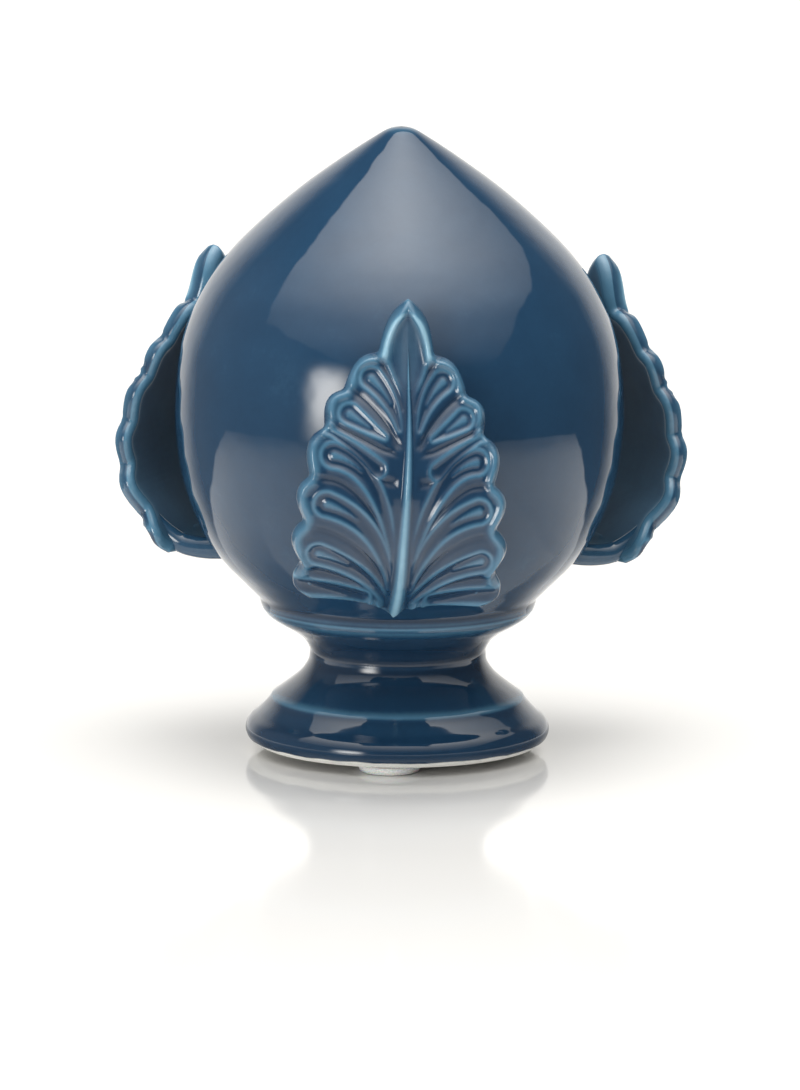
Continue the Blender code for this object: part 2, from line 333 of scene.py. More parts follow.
body = {
    # distances from the axis and heights, from the top down
    "bud": [(0.0, 129.2), (2.4, 128.75), (5.2, 127.2), (12.0, 122.7), (20.7, 116.3), (29.3, 108.8),
            (35.6, 102.2), (40.4, 95.1), (44.5, 84.8), (45.9, 71.6), (45.1, 60.7), (43.2, 53.0),
            (39.9, 45.3), (36.0, 39.9), (32.0, 35.8), (28.9, 32.7)],
    "collar": [(28.9, 32.7), (28.5, 32.1), (28.2, 31.0), (27.9, 30.1)],
    "neck": [(27.9, 30.1), (26.9, 28.8), (25.1, 27.5), (22.3, 25.9), (19.7, 24.0), (18.25, 21.8),
             (18.1, 20.3), (18.5, 18.5), (20.2, 16.1), (23.2, 13.6), (25.8, 11.7)],
    "footEdge": [(25.8, 11.7), (26.8, 10.3), (28.7, 8.3), (30.5, 6.7), (31.2, 4.9), (30.7, 3.2),
                 (29.6, 2.4)],
    "rimRadius": 28.9,
    "ringHeight": 1.9,
    "ringInnerRadius": 13.6,
    "discRadius": 13.0,
    "undersideRounding": 0.35,
    "steps": 7,
    "sides": 320,
    # the glaze: how thin it is on a straight stretch, how much a bend changes that at the foot's edge and
    # how much more above it, the sharpest hollow and ridge that count, and how many points a bend is
    # averaged over
    "thinAndPaintedLight": 0.40,
    "bendAtFoot": 0.1,
    "bendAbove": 0.8,
    "sharpest": (-0.25, 0.45),
    "bendPoints": 9,
    "footTop": (7.0, 12.0),   # the heights between which the foot's edge ends
    "shoulder": 11.9,         # the height of the foot's shoulder, where a painted highlight lies
    "shoulderWidth": 1.1,
    "shoulderHighlight": 0.09,
    "footPool": 0.10,         # how much thicker it lies on the foot's edge,
    "footPoolTop": (9.0, 7.0),    # which it does from here down
}


def bodyOutline():
    # (radius, height) from the top of the axis down to the middle of the underside
    keys = ("bud", "collar", "neck", "footEdge")
    stretches = [smoothCurve(body[key], body["steps"])[:-1] for key in keys]
    ring = body["ringHeight"]
    underside = softCorners([
        body["footEdge"][-1], (body["rimRadius"], ring), (body["ringInnerRadius"], ring),
        (body["discRadius"], originHeight), (0.0, originHeight),
    ], body["undersideRounding"])
    outline = np.vstack(stretches + [underside])
    outline[:, 0] = np.maximum(outline[:, 0], 0)
    return outline


def turned(name, outline, thinAndPaintedLight, sides, centre=(0.0, 0.0)):
    # each ring is the outline's radius round the axis, and both ends of the outline lie on the axis
    angle = np.linspace(0, math.tau, sides, endpoint=False)[None, :]
    radius = outline[1:-1, 0][:, None]
    height = np.repeat(outline[1:-1, 1][:, None], sides, axis=1)
    x = centre[0] + radius * np.cos(angle)
    y = centre[1] + radius * np.sin(angle)
    points = np.stack([x, y, height], axis=-1)
    caps = [(*centre, outline[0, 1]), (*centre, outline[-1, 1])]
    return closedGrid(name, points, np.repeat(thinAndPaintedLight[1:-1][:, None], sides, axis=1), caps)


def bodyThinnessAndHighlight(outline):
    # the glaze is thin where the outline bends outwards and pools where it bends in, and a painted
    # highlight lies along the foot's shoulder
    leg = np.diff(outline, axis=0)
    heading = np.unwrap(np.arctan2(leg[:, 1], leg[:, 0]))
    length = np.linalg.norm(leg, axis=1)
    bend = np.zeros(len(outline))
    shortest = 0.05
    bend[1:-1] = -np.diff(heading) / np.maximum((length[1:] + length[:-1]) / 2, shortest)
    window = np.hanning(body["bendPoints"])
    bend = np.convolve(bend, window / window.sum(), "same")
    height = outline[:, 1]
    strength = body["bendAtFoot"] + body["bendAbove"] * smoothStep(*body["footTop"], height)
    # a painted highlight: paler glaze in a band along the foot's shoulder
    shoulder = body["shoulderHighlight"] * bell(height - body["shoulder"], body["shoulderWidth"])
    pool = body["footPool"] * smoothStep(*body["footPoolTop"], height)
    return body["thinAndPaintedLight"] + strength * np.clip(bend, *body["sharpest"]) + shoulder - pool


outline = bodyOutline()
finialBody = turned("bud_and_foot", outline, bodyThinnessAndHighlight(outline), body["sides"])
dress(finialBody, bodyGlaze, "porcelain_finial")
print("body made")


# The carved leaves

leaf = {
    # where the lobes meet on the outline, as distances from the rib and heights, from the bottom corner up
    "notches": [(17.5, 38.2), (20.0, 46.1), (20.0, 56.1), (19.2, 65.4), (16.5, 75.2), (12.9, 82.6),
                (5.9, 90.0)],
    "tip": 100.5,
    "bulges": [2.5, 2.3, 2.2, 2.3, 2.0, 1.9, 1.5],    # how far each lobe swells between its notches
    "archLean": 0.35,         # how much of the swell leans to the lobe's upper end
    "notchSoftness": 7,       # rows over which the outline is averaged, which rounds its notches
    # the heights where the rows to the notches and the tip leave the rib
    "roots": [33.0, 37.0, 41.5, 48.0, 58.0, 69.0, 80.0, 100.5],
    "leavesRib": 0.36,        # a row bends at this share of the way across
    "rise": 0.80,             # and this share of the way up,
    "bottomLeavesRib": 0.12,  # but the bottom edge turns outwards sooner than the rows above it
    "bottomRise": 0.92,
    # heights, and how far out the face is there
    "faceAtRib": [(31.0, 27.5), (33.0, 30.6), (36.5, 37.6), (40.0, 43.5), (44.0, 48.4), (51.5, 54.4),
                  (60.5, 56.8), (70.0, 55.6), (78.0, 52.8), (87.0, 49.4), (94.0, 48.2), (103.0, 48.4)],
    "faceAtSide": [(31.0, 44.5), (40.2, 46.0), (44.0, 47.8), (51.5, 53.0), (60.5, 55.0), (70.0, 53.8),
                   (78.0, 51.0), (87.0, 47.2), (94.0, 46.2), (103.0, 46.2)],
    "sideDistance": 20.0,
    "thickness": 2.9,
    "tipThickness": 4.4,
    "tipThickens": (84.0, 93.0),    # between these heights
    # heights, and how far the front leaf's rib bows to its right there
    "bow": [(31.0, -0.5), (33.0, 0.0), (36.5, 0.7), (43.0, 1.3), (49.7, 1.5), (64.5, 1.8), (76.0, 1.5),
            (86.0, 0.8), (100.5, 0.0), (103.0, 0.0)],
    "frontLeftScale": 0.94,   # the front leaf's left half is a little narrower
    "middle": (50.0, 65.0),   # how far out and how high the point is that a leaf leans and tilts about
    "rowsPerLobe": 36,
    "columns": 84,
    "crowding": 1.5,          # how much closer the columns lie at the edge than at the rib
    "lowCrowding": 1.8,       # and the lowest lobe's rows where the bottom edge rolls over
    "frontDull": 0.12,
    # the back's glaze: how thin it is, which is paler than the front as painted fill light in the shaded
    # pocket, how much thinner at the edge and how far in that goes, and the distances from the edge between
    # which it turns dull
    "backThinAndPaintedFill": 0.54,
    "backEdgeThin": 0.26,
    "backEdgeWidth": 2.0,
    "backDull": (0.7, 2.6),
}

# turn about the axis, lean to its right, tilt outwards at the tip, how much further out and higher it sits
placements = {
    "front": (0.0, 2.6, 0.0, 0.0, 0.0),
    "right": (120.0, 0.0, 2.2, 1.1, -0.9),
    "left": (-120.0, 0.0, -2.2, -0.2, 1.1),
}

carving = {
    # the raised loops cut round each hollow: where the hollow starts, where it bends, the middle of its
    # round end, that end's radius, and how wide it starts as a share of that. The first five fill the lobes
    # and hold a drop, the sixth is the small pocket between two lobes, and the last is open at the leaf's
    # bottom corner
    "loops": [
        ((2.0, 75.5), (3.2, 81.0), (7.3, 84.8), 2.3, 0.25),
        ((5.0, 73.8), (8.0, 75.5), (11.7, 77.8), 2.1, 0.25),
        ((1.6, 48.0), (5.0, 68.0), (14.6, 69.7), 2.6, 0.25),
        ((1.8, 42.0), (4.3, 57.0), (15.6, 60.0), 2.6, 0.25),
        ((1.5, 37.0), (6.5, 46.6), (16.7, 49.3), 2.4, 0.25),
        ((15.5, 74.2), (10.5, 71.6), (6.3, 67.6), 1.9, 0.30),
        ((20.5, 41.6), (13.5, 41.6), (7.2, 39.6), 1.6, 1.25),
    ],
    "linePoints": 48,         # on the line down each hollow's middle
    "dropStarts": [22, 22, 33, 33, 33],     # at which of them each lobe's drop sets off
    # heights, depths and widths. A side is a pair: the distances at which it starts and is whole
    "hollowDepth": 0.34,
    "hollowSide": (0.5, -1.7),
    "dropHeight": 0.38,
    "dropWidth": 0.75,
    "dropSide": (0.95, -0.55),
    "lineHeight": 0.24,
    "lineWidth": 0.70,
    "rimHeight": 0.75,        # the swollen rim just inside the outline
    "rimPlace": 1.5,
    "rimWidth": 1.05,
    "rimSide": (0.0, 1.0),
    "grooveDepth": 0.36,
    "grooveWidth": 0.95,      # the groove between two hollows, near the rib,
    "grooveWidens": 0.45,     # how much wider it gets
    "grooveWidest": 18.0,     # at this distance from the rib,
    "grooveSide": (0.0, 1.2),
    "grooveReach": (3.6, 2.0),    # and how far from a hollow it ends and is whole
    "grooveDull": 0.30,
    "ribHeight": 1.15,
    "ribWidth": 2.0,
    "ribSide": (-0.4, 1.6),
    "ribFoot": 33.0,
    "ribTop": 90.8,
    "ribTaper": 0.8,          # powers: of the rib's width towards its top,
    "ribFall": 0.35,          # of its height there,
    "ribRoundness": 0.9,      # and of its rounding across
    # the tip's sunk face: heights and half widths, then its depth, its line and how dull it is
    "tipHalfWidths": [(70.0, 0.4), (76.0, 0.8), (81.0, 1.5), (83.5, 2.3), (85.6, 3.2), (88.3, 4.1),
                      (90.3, 4.4), (92.6, 4.0), (96.0, 2.5), (98.4, 0.0)],
    "tipLeastHalf": 0.05,
    "tipStart": (79.0, 85.0),
    "tipDepth": 0.18,
    "tipFloor": 1.1,          # above 1 by the square of its level middle's share of the width
    "tipRoundness": 1.5,
    "tipFullHalf": 3.0,       # it is shallower where it is narrower than this
    "tipLineStart": (80.0, 85.0),
    "tipLineHeight": 0.24,
    "tipLineWidth": 0.75,
    "tipDull": 0.48,
    "edgeSide": (0.0, 1.2),
}

# How thin the glaze is on a carved face, and what each form adds to that: the paler lines, rims, drops,
# rib, tip line and outline are partly glaze run thin and partly painted highlight
carvedGlazeAndHighlights = {
    "plain": 0.34,
    "line": 0.38,
    "lineWidth": 0.52,
    "lineByRib": 0.6,         # the share of that near the rib, which grows to the whole
    "lineWhole": (2.0, 9.0),  # between these distances from the rib
    "rim": 0.40,
    "tipLine": 0.30,
    "groove": 0.12,           # taken off in the grooves,
    "hollow": 0.06,           # and in the hollows
    "hollowSide": (-0.6, -1.6),
    "drop": 0.40,
    "dropPower": 1.5,
    "rib": 0.68,
    "ribPower": 1.3,
    "ribFall": 0.3,
    "edge": 0.10,
    "edgeWidth": 0.9,
    "tip": 0.16,              # on the tip's sunk face, a painted reflection of the light above
}


def lobeEdges():
    # where each row leaves the rib and where it ends on the outline, from the bottom corner to the tip
    ends = leaf["notches"] + [(0.0, leaf["tip"])]
    roots, edges = [], []
    even = np.linspace(0, 1, leaf["rowsPerLobe"], endpoint=False)[:, None]
    for k, bulge in enumerate(leaf["bulges"]):
        t = even if k else even**leaf["lowCrowding"]
        start, end = np.array(ends[k]), np.array(ends[k + 1])
        chord = end - start
        outward = np.array((chord[1], -chord[0])) / np.linalg.norm(chord)
        # an arc: the chord, plus a swell of 4t(1-t) that leans a little towards its upper end
        leaning = 1 + leaf["archLean"] * (2 * t - 1)
        edges.append(start + chord * t + outward * bulge * 4 * t * (1 - t) * leaning)
        roots.append(leaf["roots"][k] + (leaf["roots"][k + 1] - leaf["roots"][k]) * t[:, 0])
    edges = np.vstack(edges)
    window = np.hanning(leaf["notchSoftness"] + 2)[1:-1]
    reach = leaf["notchSoftness"] // 2
    for axis in (0, 1):
        softened = np.convolve(edges[:, axis], window / window.sum(), "same")
        edges[reach:-reach, axis] = softened[reach:-reach]
    return np.concatenate(roots), edges


def rowPoints(roots, edges, share):
    # each row sets off up the rib and bends out to its end: a quadratic curve at shares 0 to 1
    start = np.stack([np.zeros_like(roots), roots], axis=-1)[:, None, :]
    end = edges[:, None, :]
    low = np.clip(1 - (roots - leaf["roots"][0]) / (leaf["roots"][1] - leaf["roots"][0]), 0, 1)
    rise = leaf["rise"] + (leaf["bottomRise"] - leaf["rise"]) * low
    leaves = leaf["leavesRib"] + (leaf["bottomLeavesRib"] - leaf["leavesRib"]) * low
    bend = np.stack([edges[:, 0] * leaves, roots + (edges[:, 1] - roots) * rise], axis=-1)[:, None, :]
    return quadratic(start, bend, end, share[None, :, None])


def faceDistance(across, height):
    # from the distance at the rib to the one at the side, by the square of the distance across
    share = (across / leaf["sideDistance"])**2
    atRib, atSide = smoothValue(leaf["faceAtRib"], height), smoothValue(leaf["faceAtSide"], height)
    return atRib * (1 - share) + atSide * share


def facePoints(across, height, lift):
    # points of the smooth face, moved out along the face's own normal by lift
    step = 0.5
    apart = 2 * step
    slopeAcross = (faceDistance(across + step, height) - faceDistance(across - step, height)) / apart
    slopeUp = (faceDistance(across, height + step) - faceDistance(across, height - step)) / apart
    length = np.sqrt(1 + slopeAcross**2 + slopeUp**2)
    return np.stack([
        across - slopeAcross / length * lift,
        -(faceDistance(across, height) + lift / length),
        height - slopeUp / length * lift,
    ], axis=-1)


def placed(points, setting):
    turn, lean, tilt, furtherOut, higher = setting
    out, up = leaf["middle"]
    move = (
        Matrix.Rotation(math.radians(turn), 4, "Z")
        @ Matrix.Translation((0, -out - furtherOut, up + higher))
        @ Matrix.Rotation(math.radians(lean), 4, "Y") @ Matrix.Rotation(math.radians(tilt), 4, "X")
        @ Matrix.Translation((0, out, -up))
    )
    move = np.array(move)
    return points @ move[:3, :3].T + move[:3, 3]


def halfThickness(height):
    thicker = (leaf["tipThickness"] - leaf["thickness"]) * smoothStep(*leaf["tipThickens"], height)
    return (leaf["thickness"] + thicker) / 2


def nearest(across, height, line, radius=0.0):
    # the least distance to the line's points, less the radius there
    gap = np.full(across.shape, np.inf)
    radius = np.broadcast_to(radius, len(line))
    for (x, y), r in zip(line, radius):
        gap = np.minimum(gap, np.hypot(across - x, height - y) - r)
    return gap


def nearestEdge(across, height, line):
    # the least distance to the stretches between the line's points
    gap = np.full(across.shape, np.inf)
    leastSquare = 1e-9
    for (x, y), (alongX, alongY) in zip(line, np.diff(line, axis=0)):
        square = max(alongX**2 + alongY**2, leastSquare)
        share = np.clip(((across - x) * alongX + (height - y) * alongY) / square, 0, 1)
        gap = np.minimum(gap, np.hypot(across - x - share * alongX, height - y - share * alongY))
    return gap


def carve(across, height, edgeLine):
    # at a distance from the rib and a height: how far the carved face stands out, how thin its glaze is,
    # with painted highlights and a painted reflection put into that, how dull it is, and how far away the
    # outline is
    edgeGap = nearestEdge(across, height, edgeLine)
    share = np.linspace(0, 1, carving["linePoints"])
    gaps, drops = [], []
    for place, (root, bend, end, radius, startShare) in enumerate(carving["loops"]):
        line = quadratic(np.array(root), np.array(bend), np.array(end), share[:, None])
        gaps.append(nearest(across, height, line, radius * (startShare + (1 - startShare) * share)))
        if place < len(carving["dropStarts"]):
            start = carving["dropStarts"][place]
            swell = (share[start:] - share[start]) / (1 - share[start])
            drops.append(nearest(across, height, line[start:], carving["dropWidth"] * swell))
    farAway = 99.0
    tipHalf = np.maximum(smoothValue(carving["tipHalfWidths"], height), carving["tipLeastHalf"])
    tipGap = np.where(height > carving["tipStart"][0], across - tipHalf, farAway)
    hollowGap = np.min(np.stack(gaps), axis=0)
    ordered = np.sort(np.stack(gaps + [tipGap]), axis=0)

    trace = 1e-3
    ribShare = np.clip((carving["ribTop"] - height) / (carving["ribTop"] - carving["ribFoot"]), 0, 1)
    ribHalf = carving["ribWidth"] * ribShare**carving["ribTaper"] + trace
    onRib = np.cos(math.pi / 2 * np.clip(across / ribHalf, 0, 1))
    offRib = smoothStep(*carving["ribSide"], across - ribHalf)

    hollow = -carving["hollowDepth"] * smoothStep(*carving["hollowSide"], hollowGap)
    crest = bell(hollowGap, carving["lineWidth"])
    rim = bell(edgeGap - carving["rimPlace"], carving["rimWidth"])
    rim = rim * smoothStep(*carving["rimSide"], hollowGap)
    widened = carving["grooveWidens"] * np.clip(across / carving["grooveWidest"], 0, 1)
    groove = bell(ordered[1] - ordered[0], carving["grooveWidth"] + widened)
    groove = groove * smoothStep(*carving["grooveSide"], hollowGap)
    groove = groove * smoothStep(*carving["grooveReach"], ordered[0])
    drop = smoothStep(*carving["dropSide"], np.min(np.stack(drops), axis=0))
    tipLine = bell(tipGap, carving["tipLineWidth"]) * smoothStep(*carving["tipLineStart"], height)
    tip = np.clip(carving["tipFloor"] - (across / tipHalf)**2, 0, 1)**carving["tipRoundness"]
    tip = tip * np.clip(tipHalf / carving["tipFullHalf"], 0, 1) * smoothStep(*carving["tipStart"], height)
    lobes = (hollow + carving["lineHeight"] * crest + carving["rimHeight"] * rim
             - carving["grooveDepth"] * groove + carving["dropHeight"] * drop - carving["tipDepth"] * tip
             + carving["tipLineHeight"] * tipLine)

    rib = carving["ribHeight"] * ribShare**carving["ribFall"] * onRib**carving["ribRoundness"]
    # the outline is rounded over like a half circle as thick as the leaf
    edgeRadius = halfThickness(height)
    edge = -edgeRadius + np.sqrt(edgeRadius**2 - (edgeRadius - np.minimum(edgeGap, edgeRadius))**2)
    lift = (lobes * offRib + rib) * smoothStep(*carving["edgeSide"], edgeGap) + edge

    # the glaze has run off the crests, most of all at the hollows' round ends, and lies thick in between;
    # the paler crests, rims, drops, rib and outline are also painted highlights
    byRib = carvedGlazeAndHighlights["lineByRib"]
    outer = byRib + (1 - byRib) * smoothStep(*carvedGlazeAndHighlights["lineWhole"], across)
    line = outer * bell(hollowGap, carvedGlazeAndHighlights["lineWidth"])
    thinAndPaintedLight = (carvedGlazeAndHighlights["plain"] + carvedGlazeAndHighlights["line"] * line * offRib + carvedGlazeAndHighlights["rim"] * rim * offRib
            + carvedGlazeAndHighlights["tipLine"] * tipLine)
    thinAndPaintedLight = (thinAndPaintedLight - carvedGlazeAndHighlights["groove"] * groove * offRib
            - carvedGlazeAndHighlights["hollow"] * smoothStep(*carvedGlazeAndHighlights["hollowSide"], hollowGap))
    onCrest = onRib**carvedGlazeAndHighlights["ribPower"] * ribShare**carvedGlazeAndHighlights["ribFall"]
    thinAndPaintedLight = (thinAndPaintedLight + carvedGlazeAndHighlights["drop"] * drop**carvedGlazeAndHighlights["dropPower"] + carvedGlazeAndHighlights["rib"] * onCrest
            + carvedGlazeAndHighlights["edge"] * bell(edgeGap, carvedGlazeAndHighlights["edgeWidth"]))
    # the grooves and the tip's face are the dullest parts of the front
    tip = np.clip(tip, 0, 1)
    dull = leaf["frontDull"] + carving["grooveDull"] * groove * offRib + carving["tipDull"] * tip
    # the tip's sunk face is made paler: a painted reflection of the light above
    return lift, thinAndPaintedLight + carvedGlazeAndHighlights["tip"] * tip, dull, edgeGap


def leafGrid(leftScale, bow):
    # one leaf where it faces the viewer: loops over the front, round the right edge and over the back
    roots, edges = lobeEdges()
    share = 1 - (1 - np.linspace(0, 1, leaf["columns"] + 1))**leaf["crowding"]
    half = rowPoints(roots, edges, share)
    tip = np.tile([[0.0, leaf["tip"]]], (len(share), 1))[None]
    half = np.concatenate([half, tip])
    across, height = half[..., 0], half[..., 1]
    edgeLine = np.vstack([half[0], edges, [(0.0, leaf["tip"])]])
    lift, thinAndPaintedLight, dull, edgeGap = carve(across, height, edgeLine)
    edgeRadius = halfThickness(height)
    backLift = -edgeRadius - np.sqrt(edgeRadius**2 - (edgeRadius - np.minimum(edgeGap, edgeRadius))**2)
    # the back is paler than the front: painted fill light where the leaf faces the bud
    backThinAndPaintedFill = leaf["backThinAndPaintedFill"] + leaf["backEdgeThin"] * bell(edgeGap, leaf["backEdgeWidth"])
    backDull = smoothStep(*leaf["backDull"], edgeGap)

    def loop(front, back, sign):
        # the front from the left edge to the right one, then the back without its two edge points
        parts = [sign * front[:, :0:-1], front, back[:, -2::-1], sign * back[:, 1:-1]]
        return np.concatenate(parts, axis=1)

    acrossAll = loop(across, across, -1)
    acrossAll = np.where(acrossAll < 0, acrossAll * leftScale, acrossAll)
    # the bow is whole at the rib and fades to nothing at the edge, with the square of the share
    bowed = bow * (1 - share**2) * smoothValue(leaf["bow"], height)
    acrossAll = acrossAll + loop(bowed, bowed, 1)
    points = facePoints(acrossAll, loop(height, height, 1), loop(lift, backLift, 1))
    return points, loop(thinAndPaintedLight, backThinAndPaintedFill, 1), loop(dull, backDull, 1)


for side, setting in placements.items():
    isFront = side == "front"
    leftScale, bow = (leaf["frontLeftScale"], 1.0) if isFront else (1.0, 0.0)
    leafPoints, leafThin, leafDull = leafGrid(leftScale, bow)
    shell = closedGrid("leaf_" + side, placed(leafPoints, setting), leafThin, dull=leafDull)
    dress(shell, leafGlaze, "porcelain_finial")
print("leaves made")


# The floor of the pocket behind each leaf, which joins the leaf to the bud, and the rolled lips at its ends

pocketFloor = {
    "top": 41.3,
    "halfWidth": 15.8,
    "innerOut": 24.0,
    "sink": 1.4,              # how deep the slab's outer side lies inside the leaf
    "above": 0.5,             # how far its underside is above the leaf's bottom edge
    "fillet": 2.2,
    "filletPower": 3,         # how abruptly the fillets end by the lips
    "columns": 72,
    "sidePoints": 40,
    "edgePoints": 60,
    "thinAndPaintedLight": 0.60,
}

pocketLip = {
    # distances across and out, height and radius, from inside the leaf's edge round its corner to the bud
    "stations": [(18.1, 49.0, 48.0, 0.9), (17.4, 46.4, 44.8, 1.4), (16.4, 44.1, 42.4, 1.8),
                 (15.8, 41.6, 40.8, 2.1), (15.7, 38.5, 40.4, 2.2), (15.7, 34.8, 40.6, 2.3),
                 (15.4, 31.0, 41.2, 2.3), (14.8, 26.5, 42.5, 2.2)],
    "steps": 7,
    "sides": 32,
    "thinAndPaintedLight": 0.50,
}


def filletRise(gap, radius):
    # how far a fillet of this radius stands up at a gap from the wall it runs into
    inside = np.clip(radius - gap, 0, radius)
    return radius - np.sqrt(radius**2 - inside**2)


def floorGrid():
    roots, edges = lobeEdges()
    bottomRow = rowPoints(roots[:1], edges[:1], np.linspace(0, 1, pocketFloor["edgePoints"]))[0]
    width = pocketFloor["halfWidth"]
    across = width * np.sin(np.linspace(-math.pi / 2, math.pi / 2, pocketFloor["columns"]))[:, None]
    bottom = np.interp(np.abs(across), bottomRow[:, 0], bottomRow[:, 1]) + pocketFloor["above"]
    ordered = outline[np.argsort(outline[:, 1])]

    def bodyOut(height):
        radius = np.interp(height, ordered[:, 1], ordered[:, 0])
        leastSquare = 1.0
        return np.sqrt(np.maximum(radius**2 - across**2, leastSquare))

    top = np.full_like(across, pocketFloor["top"])
    inner = np.full_like(across, pocketFloor["innerOut"])
    share = np.linspace(0, 1, pocketFloor["sidePoints"])[None, :]
    # the fillets shrink to nothing at both ends, where the lips cover them
    fillet = pocketFloor["fillet"] * (1 - np.abs(across / width)**pocketFloor["filletPower"])
    lowOuter = faceDistance(across, bottom) - pocketFloor["sink"]
    highOuter = faceDistance(across, top + fillet) - pocketFloor["sink"]
    # the underside from the bud to the leaf, the side inside the leaf, the pocket's floor, and the side
    # inside the bud
    underOut = inner + (lowOuter - inner) * share
    underHeight = bottom + 0 * share
    wallHeight = bottom + (top + fillet - bottom) * share
    wallOut = faceDistance(across + 0 * share, wallHeight) - pocketFloor["sink"]
    floorOut = highOuter + (inner - highOuter) * share
    leafBack = faceDistance(across, top) - leaf["thickness"]
    leafRise, budRise = filletRise(leafBack - floorOut, fillet), filletRise(floorOut - bodyOut(top), fillet)
    floorHeight = top + leafRise + budRise
    innerHeight = floorHeight[:, -1:] + (underHeight[:, :1] - floorHeight[:, -1:]) * share
    out = [side[:, :-1] for side in (underOut, wallOut, floorOut, inner + 0 * share)]
    height = [side[:, :-1] for side in (underHeight, wallHeight, floorHeight, innerHeight)]
    out, height = np.concatenate(out, axis=1), np.concatenate(height, axis=1)
    return np.stack([across + 0 * out, -out, height], axis=-1)


def lipGrid(side):
    # circles square to a smooth line through the stations
    path = smoothCurve(pocketLip["stations"], pocketLip["steps"])
    heading = np.gradient(path[:, 1:3], axis=0)
    heading /= np.linalg.norm(heading, axis=1, keepdims=True)
    angle = np.linspace(0, math.tau, pocketLip["sides"], endpoint=False)[None, :]
    radius = path[:, 3:]
    across = path[:, :1] + radius * np.cos(angle)
    out = path[:, 1:2] - heading[:, 1:] * radius * np.sin(angle)
    height = path[:, 2:3] + heading[:, :1] * radius * np.sin(angle)
    return np.stack([side * across, -out, height], axis=-1)


def endCaps(loops):
    return [loops[0].mean(axis=0), loops[-1].mean(axis=0)]


floorLoops = floorGrid()
for side, setting in placements.items():
    loops = placed(floorLoops, setting)
    thinAndPaintedLight = np.full(loops.shape[:2], pocketFloor["thinAndPaintedLight"])
    slab = closedGrid("leaf_floor_" + side, loops, thinAndPaintedLight, endCaps(loops), dull=np.ones_like(thinAndPaintedLight))
    dress(slab, leafGlaze, "porcelain_finial")
    for hand, sign in {"a": -1, "b": 1}.items():
        loops = placed(lipGrid(sign), setting)
        thinAndPaintedLight = np.full(loops.shape[:2], pocketLip["thinAndPaintedLight"])
        lip = closedGrid("leaf_lip_" + side + "_" + hand, loops, thinAndPaintedLight, endCaps(loops))
        dress(lip, leafGlaze, "porcelain_finial")
print("leaf floors made")


# The bumper pads

pads = {
    "radius": 6.35,
    "top": 1.6,
    "topEdge": 0.1,           # the top ends this far from the side,
    "waist": 0.45,            # the side is widest at this share of the height
    "rollUnder": 0.45,        # and rolls in by this much at the bottom
    "rounding": 0.5,
    "roundingPoints": 8,
    "sides": 96,
    "circle": 22.0,           # how far from the axis they sit,
    "turn": -4.0,             # and how far round it all are turned
    "at": {"bumper_pad_front": 0.0, "bumper_pad_rear_right": 120.0, "bumper_pad_rear_left": -120.0},
}


def padOutline():
    # a low dome with its edge rolled under, from the top of its own axis to the bottom
    radius, top = pads["radius"], pads["top"]
    return softCorners([
        (0.0, top), (radius - pads["topEdge"], top), (radius, pads["waist"] * top),
        (radius - pads["rollUnder"], 0.0), (0.0, 0.0),
    ], pads["rounding"], pads["roundingPoints"])


for node, turn in pads["at"].items():
    angle = math.radians(turn + pads["turn"] + frontAngle)
    centre = (pads["circle"] * math.cos(angle), pads["circle"] * math.sin(angle))
    profile = padOutline()
    noGlaze = np.zeros(len(profile))
    pad = turned(node + "_silicone", profile, noGlaze, pads["sides"], centre)
    dress(pad, padSilicone, node)
print("pads made")


# The studio: a pale table, and surroundings that the glaze mirrors

studio = {
    "white": 1.06,             # what the camera sees behind the object
    "tint": (1.0, 0.98, 0.94),
    "dark": 0.115,             # the unlit room in front and to the sides
    "leftWall": 0.20,
    "leftWallEdge": (-0.50, -0.85),
    "backdrop": 1.0,           # the lit wall behind, seen only in the glaze
    "backdropEdge": (0.60, 0.90),
    "softbox": 5.9,
    "softboxTurn": 20.2,
    # its four edges, on a plane one unit up: where each starts and where the light is whole
    "softboxEdges": [(-1.70, -1.62), (1.28, 1.22), (0.58, 0.54), (-2.50, -2.30)],
    "softboxCore": 0.14,       # how far its brightest middle reaches,
    "softboxFade": 1.75,       # and how quickly it fades beyond
    "leastRise": 0.02,         # lower directions than this count as this
    "lamp": 13.0,
    "lampDirection": (-37.0, 5.5),
    "lampWidths": (0.17, 0.21),
    "lampEdge": 3.0,
    "lampAhead": (0.2, 0.4),
}

tableLook = {
    "size": 12.0,
    "seen": (0.65, 0.70),      # how pale it is to the camera, close by and further off: a little darker close by, as a painted shadow round the foot
    "paintedShadowEdge": (0.032, 0.06),
    # and to the glaze, by the distance from the axis in metres: painted light and shadow, dark close to the
    # foot where the finial shades the table and brighter than white further off
    "mirroredPaintedLight": [(0.04, 0.30), (0.055, 0.50), (0.075, 0.80), (0.10, 1.10), (0.15, 1.25), (0.20, 1.22),
                 (0.26, 1.05), (0.34, 0.78), (0.42, 0.55), (0.50, 0.40)],
    "inFront": 0.75,           # how much dimmer it is to the glaze in front, as painted shade
    "frontEdge": (-0.15, 0.0),
    "behind": 0.060,           # the glaze mirrors a lit table no further behind than this,
    "reach": 0.510,            # and no further than this from the axis,
    "softness": 0.003,         # and it ends within this much of both
    "shine": 0.28,             # how much of the finial it mirrors close by
    "shineEdge": (0.10, 0.30),
    "roughness": 0.09,
}


